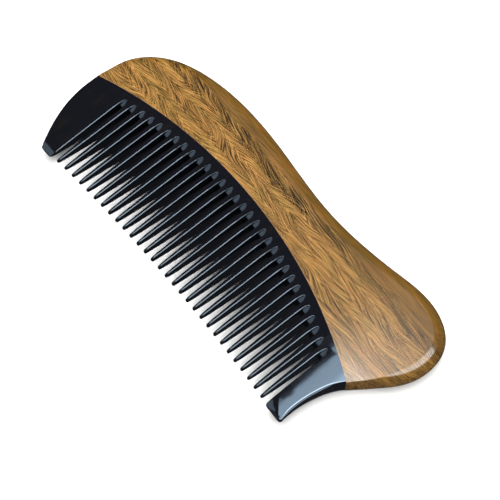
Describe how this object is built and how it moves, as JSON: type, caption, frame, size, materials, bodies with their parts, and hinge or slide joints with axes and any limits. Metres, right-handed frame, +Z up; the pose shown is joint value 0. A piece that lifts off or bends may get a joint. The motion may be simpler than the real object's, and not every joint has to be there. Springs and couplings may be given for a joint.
{
  "type": "beard comb",
  "caption": "Flat beard comb: a black horn tooth plate, thick at the back and thin at the tips, glued into a rounded wooden spine along a curved joint.",
  "frame": {"origin": "under the middle of the outline, at the height of the flat lower face of the wood", "axes": "+X along the tooth row towards the narrow lobe of the spine, +Y from the tooth tips to the back of the spine, +Z up through the thickness"},
  "size_m": [0.1394, 0.0613, 0.0094],
  "materials": {
    "spine_wood": "sanded fine and oiled, satin",
    "black_horn": "polished",
    "glue": "cured adhesive, a hair line at the joint"
  },
  "bodies": {
    "root": {"wood_spine": "spine_wood", "horn_tooth_plate": "black_horn", "joint_glue_film": "glue"}
  },
  "joints": []
}
